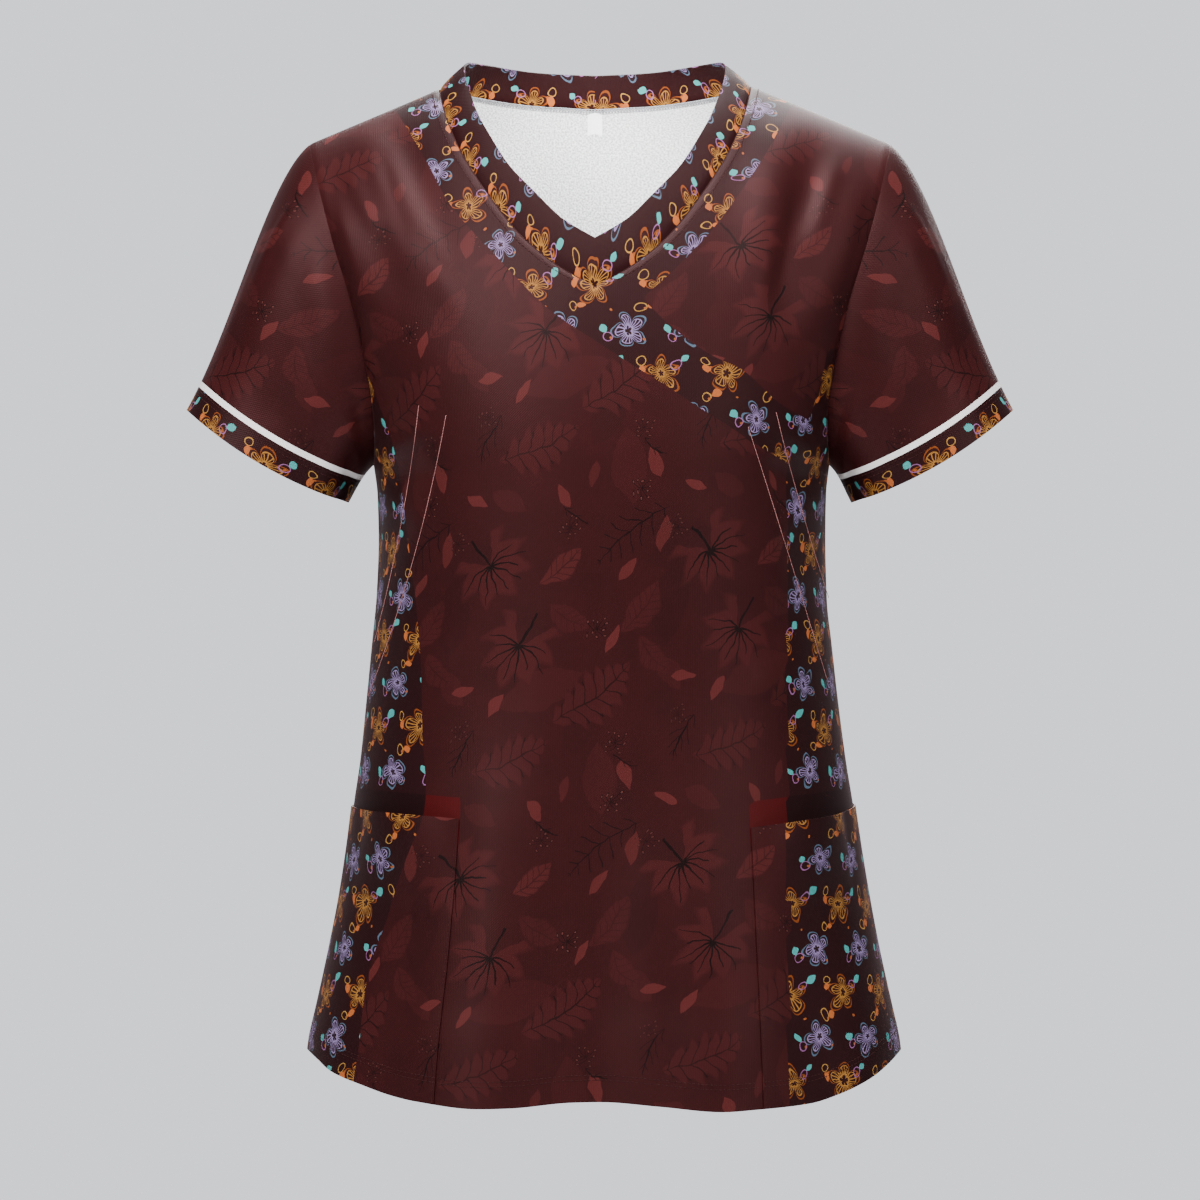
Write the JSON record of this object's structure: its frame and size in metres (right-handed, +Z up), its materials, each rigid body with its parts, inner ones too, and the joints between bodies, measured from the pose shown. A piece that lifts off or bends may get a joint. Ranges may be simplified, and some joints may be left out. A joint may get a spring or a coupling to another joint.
{
  "type": "scrub top",
  "caption": "Short-sleeved V-neck scrub top in its worn, hollow shape, with a mitred neckband, set-in sleeves and patch pockets let into the side seams and the hem.",
  "frame": {"origin": "midway between the two shoulder points, where the top rests on the wearer's shoulders", "axes": "+Z up, -Y towards the front, +X towards the wearer's left (the right of a front view)"},
  "size_m": [0.5626, 0.2723, 0.7112],
  "materials": {
    "front_cloth": "satin burgundy knit with a tonal leaf print, dark printed bands and white brushed inside",
    "back_cloth": "satin burgundy knit with a tonal leaf print, white brushed inside",
    "neckband_cloth": "dark burgundy knit with a small bright print",
    "sleeve_left_cloth": "satin burgundy knit with a tonal leaf print, white stripe and dark cuff print",
    "sleeve_right_cloth": "satin burgundy knit with a tonal leaf print, white stripe and dark cuff print",
    "pocket_left_cloth": "dark burgundy knit with a small bright print beside the tonal leaf print",
    "pocket_right_cloth": "dark burgundy knit with a small bright print beside the tonal leaf print",
    "size_label_cloth": "plain white woven label"
  },
  "bodies": {
    "root": {"front": "front_cloth", "back": "back_cloth", "neckband": "neckband_cloth", "sleeve_left": "sleeve_left_cloth", "sleeve_right": "sleeve_right_cloth", "pocket_left": "pocket_left_cloth", "pocket_right": "pocket_right_cloth", "size_label": "size_label_cloth"}
  },
  "joints": []
}
